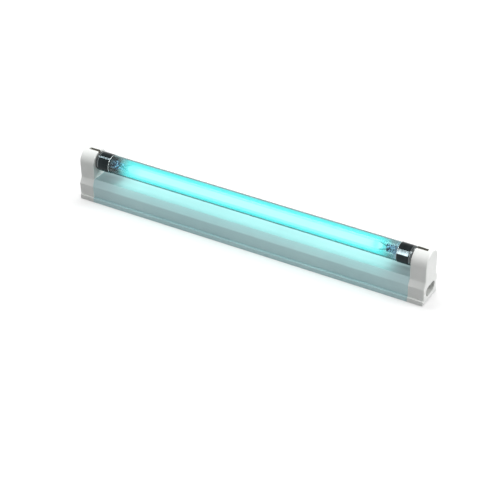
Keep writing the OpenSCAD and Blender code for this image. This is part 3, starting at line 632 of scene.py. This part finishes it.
films = {"left": end_film("dense_end_film", colour(40, 58, 60), colour(20, 34, 34), 0.85, 0.1),
         "right": end_film("thin_end_film", colour(196, 214, 232), colour(150, 172, 192), 0.5, 0.6)}
cloud_light = glowing("filament_cloud_light", (0.8, 1, 0.97, 1), (0.9, 1, 1, 1), 1.5, 0.75,
                      1.0, 2.0)
cloud_place = filament_place - 0.0015
cloud_half_length, cloud_radius = 0.0042, 0.003
half_turn = [math.pi * k / 12 for k in range(13)]
for side, name in ((-1, "left"), (1, "right")):
    sleeve = [(side * (rim_place - film_reach + film_step * k), bore_radius - film_gap)
              for k in range(film_rings)]
    film = turned("end_film_" + name, sleeve)
    film.data.materials.append(films[name])
    egg = [(side * cloud_place + cloud_half_length * math.cos(a), cloud_radius * math.sin(a))
           for a in half_turn]
    cloud = turned("filament_cloud_" + name, egg)
    cloud.data.materials.append(cloud_light)

# %% [markdown]
# The floor is white paper. It must show the lamp's soft shadow and still end in pure white, so it
# is a plain diffuse surface that gets a little light of its own, which only the eye, mirrors and
# glass can see, and which grows to full white far from the lamp. Its colour is darker for the
# light that it throws back on the housing than for the eye, because a brighter floor would fill
# the shade on the sides. The world is like it: white to look at, dimmer as a light.


# %% Floor and world
def seen_directly(tree):
    """1 for rays from the camera, a mirror or glass, and 0 for the light that falls on things."""
    path = add(tree, "LightPath")
    first = add(tree, "Math", operation="MAXIMUM")
    second = add(tree, "Math", operation="MAXIMUM")
    tree.links.new(path.outputs["Is Camera Ray"], first.inputs[0])
    tree.links.new(path.outputs["Is Glossy Ray"], first.inputs[1])
    tree.links.new(first.outputs[0], second.inputs[0])
    tree.links.new(path.outputs["Is Transmission Ray"], second.inputs[1])
    return second.outputs[0]


floor_half_size = 6.0
floor_drop = 0.0002
floor_shape = bmesh.new()
bmesh.ops.create_grid(floor_shape, x_segments=2, y_segments=2, size=floor_half_size)
bmesh.ops.translate(floor_shape, verts=floor_shape.verts, vec=(0, 0, -floor_drop))
floor_mesh = bpy.data.meshes.new("floor")
floor_shape.to_mesh(floor_mesh)
floor_shape.free()
floor = bpy.data.objects.new("floor", floor_mesh)
bpy.context.scene.collection.objects.link(floor)

light_near, light_far = 0.36, 1.0
near_edge, far_edge = 0.3, 1.2
paper_as_bounce, paper_as_seen = grey(0.33), grey(0.62)
paper, tree, shader = new_finish("white_paper")
shader.inputs["Roughness"].default_value = 1.0
shader.inputs["Specular IOR Level"].default_value = 0.0
shader.inputs["Emission Color"].default_value = grey(1.0)
far_off = add(tree, "VectorMath", operation="LENGTH")
tree.links.new(place(tree), far_off.inputs[0])
seen = seen_directly(tree)
own_light = add(tree, "Math", operation="MULTIPLY")
tree.links.new(seen, own_light.inputs[0])
tree.links.new(between(tree, far_off.outputs["Value"], light_near, light_far, near_edge, far_edge),
               own_light.inputs[1])
tree.links.new(own_light.outputs[0], shader.inputs["Emission Strength"])
tree.links.new(shades(tree, seen, [(0.0, paper_as_bounce), (1.0, paper_as_seen)]),
               shader.inputs["Base Color"])
floor_mesh.materials.append(paper)

sky_as_light, sky_as_seen = 0.2, 1.0
world = bpy.data.worlds.new("studio")
world.use_nodes = True
bpy.context.scene.world = world
tree = world.node_tree
sky = tree.nodes["Background"]
level_of_sky = add(tree, "MapRange", {"To Min": sky_as_light, "To Max": sky_as_seen})
tree.links.new(seen_directly(tree), level_of_sky.inputs["Value"])
tree.links.new(level_of_sky.outputs["Result"], sky.inputs["Strength"])
sky.inputs["Color"].default_value = grey(1.0)
print("floor and world are white to look at")

# %% [markdown]
# Three soft lamps light the studio. One overhead, a little behind, lights the tops and leaves the
# short soft shadow in front. One from the right and behind lights the end face and keeps the
# socket dark inside. One high in front gives the ledges and slopes their light and leaves the
# sides in quiet shade. The one overhead is hidden from mirrors, because the quartz would show it
# as a chain of white dots.


# %% Soft lamps
def soft_lamp(name, location, width, height, watts, target=(0, 0, 0.03)):
    """A flat lamp that faces a target."""
    light = bpy.data.lights.new(name, "AREA")
    light.shape, light.size, light.size_y, light.energy = "RECTANGLE", width, height, watts
    made = bpy.data.objects.new(name, light)
    made.location = location
    made.rotation_euler = (Vector(target) - made.location).to_track_quat("-Z", "Y").to_euler()
    bpy.context.scene.collection.objects.link(made)
    return made


overhead = soft_lamp("overhead_lamp", (-0.35, 0.36, 1.7), width=1.3, height=0.5, watts=21.0)
overhead.visible_glossy = False
soft_lamp("side_lamp", (1.7, 0.7, 0.7), width=1.1, height=0.9, watts=22.0)
soft_lamp("front_lamp", (0.2, -0.9, 1.7), width=0.8, height=0.4, watts=10.5)
print("three soft lamps")

# %% [markdown]
# Polished cups are dark mirrors, so their bright bands are pictures of lamps. To place one,
# follow the view from the camera to the cup and mirror it in the round where the band should be:
# the lamp stands out along that line. These lamps are linked to the cups, so they light nothing
# else. Five, one below the other, draw the broad band of the right cup, and two the thin streak
# of the left one.


# %% Lamps that the cups mirror
def mirrored(x, down):
    """The direction in which the camera looks by way of a cup at x, part of the way down it."""
    eye = (camera.location - Vector((x, 0, axis_height))).normalized()
    across = math.hypot(eye.y, eye.z)
    angle = math.atan2(eye.z, -eye.y) - 2 * math.asin(2 * down - 1)
    return Vector((-eye.x, -across * math.cos(angle), across * math.sin(angle)))


cup_middle = (cup_low.x + cup_high.x) / 2
lamp_reach = 0.9
lamp_width, lamp_height = 0.024, 0.18
cups = bpy.data.collections.new("cups")
for name in both("base_cup"):
    cups.objects.link(bpy.data.objects[name])
bands = ((cup_middle, 0.55, (0.40, 0.45, 0.50, 0.55, 0.60)), (-cup_middle, 1.0, (0.30, 0.35)))
for x, lamp_watts, downs in bands:
    at_cup = Vector((x, 0, axis_height))
    for down in downs:
        stand = at_cup + lamp_reach * mirrored(x, down)
        band = soft_lamp("band_lamp", stand, lamp_width, lamp_height, lamp_watts, at_cup)
        band.light_linking.receiver_collection = cups
    print(len(downs), "band lamps for the cup at", round(x, 3))

# %% [markdown]
# The glow lights the tray and the slopes of the housing. The skins do that too, but their light
# has to find its way out through the glass, which few sampled paths do. Three narrow strips stand
# for it: one just under the tube that faces the tray, and one off each ridge that faces the
# slope. Only the light that they cast shows.

# %% Strips for the light of the tube
strip_length = 2 * filament_place + 0.02
under_tube = axis_height - glass_radius - 0.0004
beside_ridge, beside_height = 0.0165, 0.0265
on_slope, slope_height = 0.0105, 0.0175
# Each row: place across and height, the place across and height that it faces, width, watts, red.
strips = [(0, under_tube, 0, 0, 0.014, 0.0150, 0.6)]
strips += [(side * beside_ridge, beside_height, side * on_slope, slope_height, 0.005, 0.0078, 0.4)
           for side in (-1, 1)]
for off, height, aim, aim_height, width, watts, red in strips:
    strip = soft_lamp("tube_strip", (0, off, height), strip_length, width, watts,
                      (0, aim, aim_height))
    strip.data.color = (red, 1.0, 0.92)
    strip.visible_camera = False
    strip.visible_glossy = False
    strip.visible_transmission = False

# %% [markdown]
# The Standard view shows each colour as it was given.

# %% Picture settings
bpy.context.scene.view_settings.view_transform = "Standard"
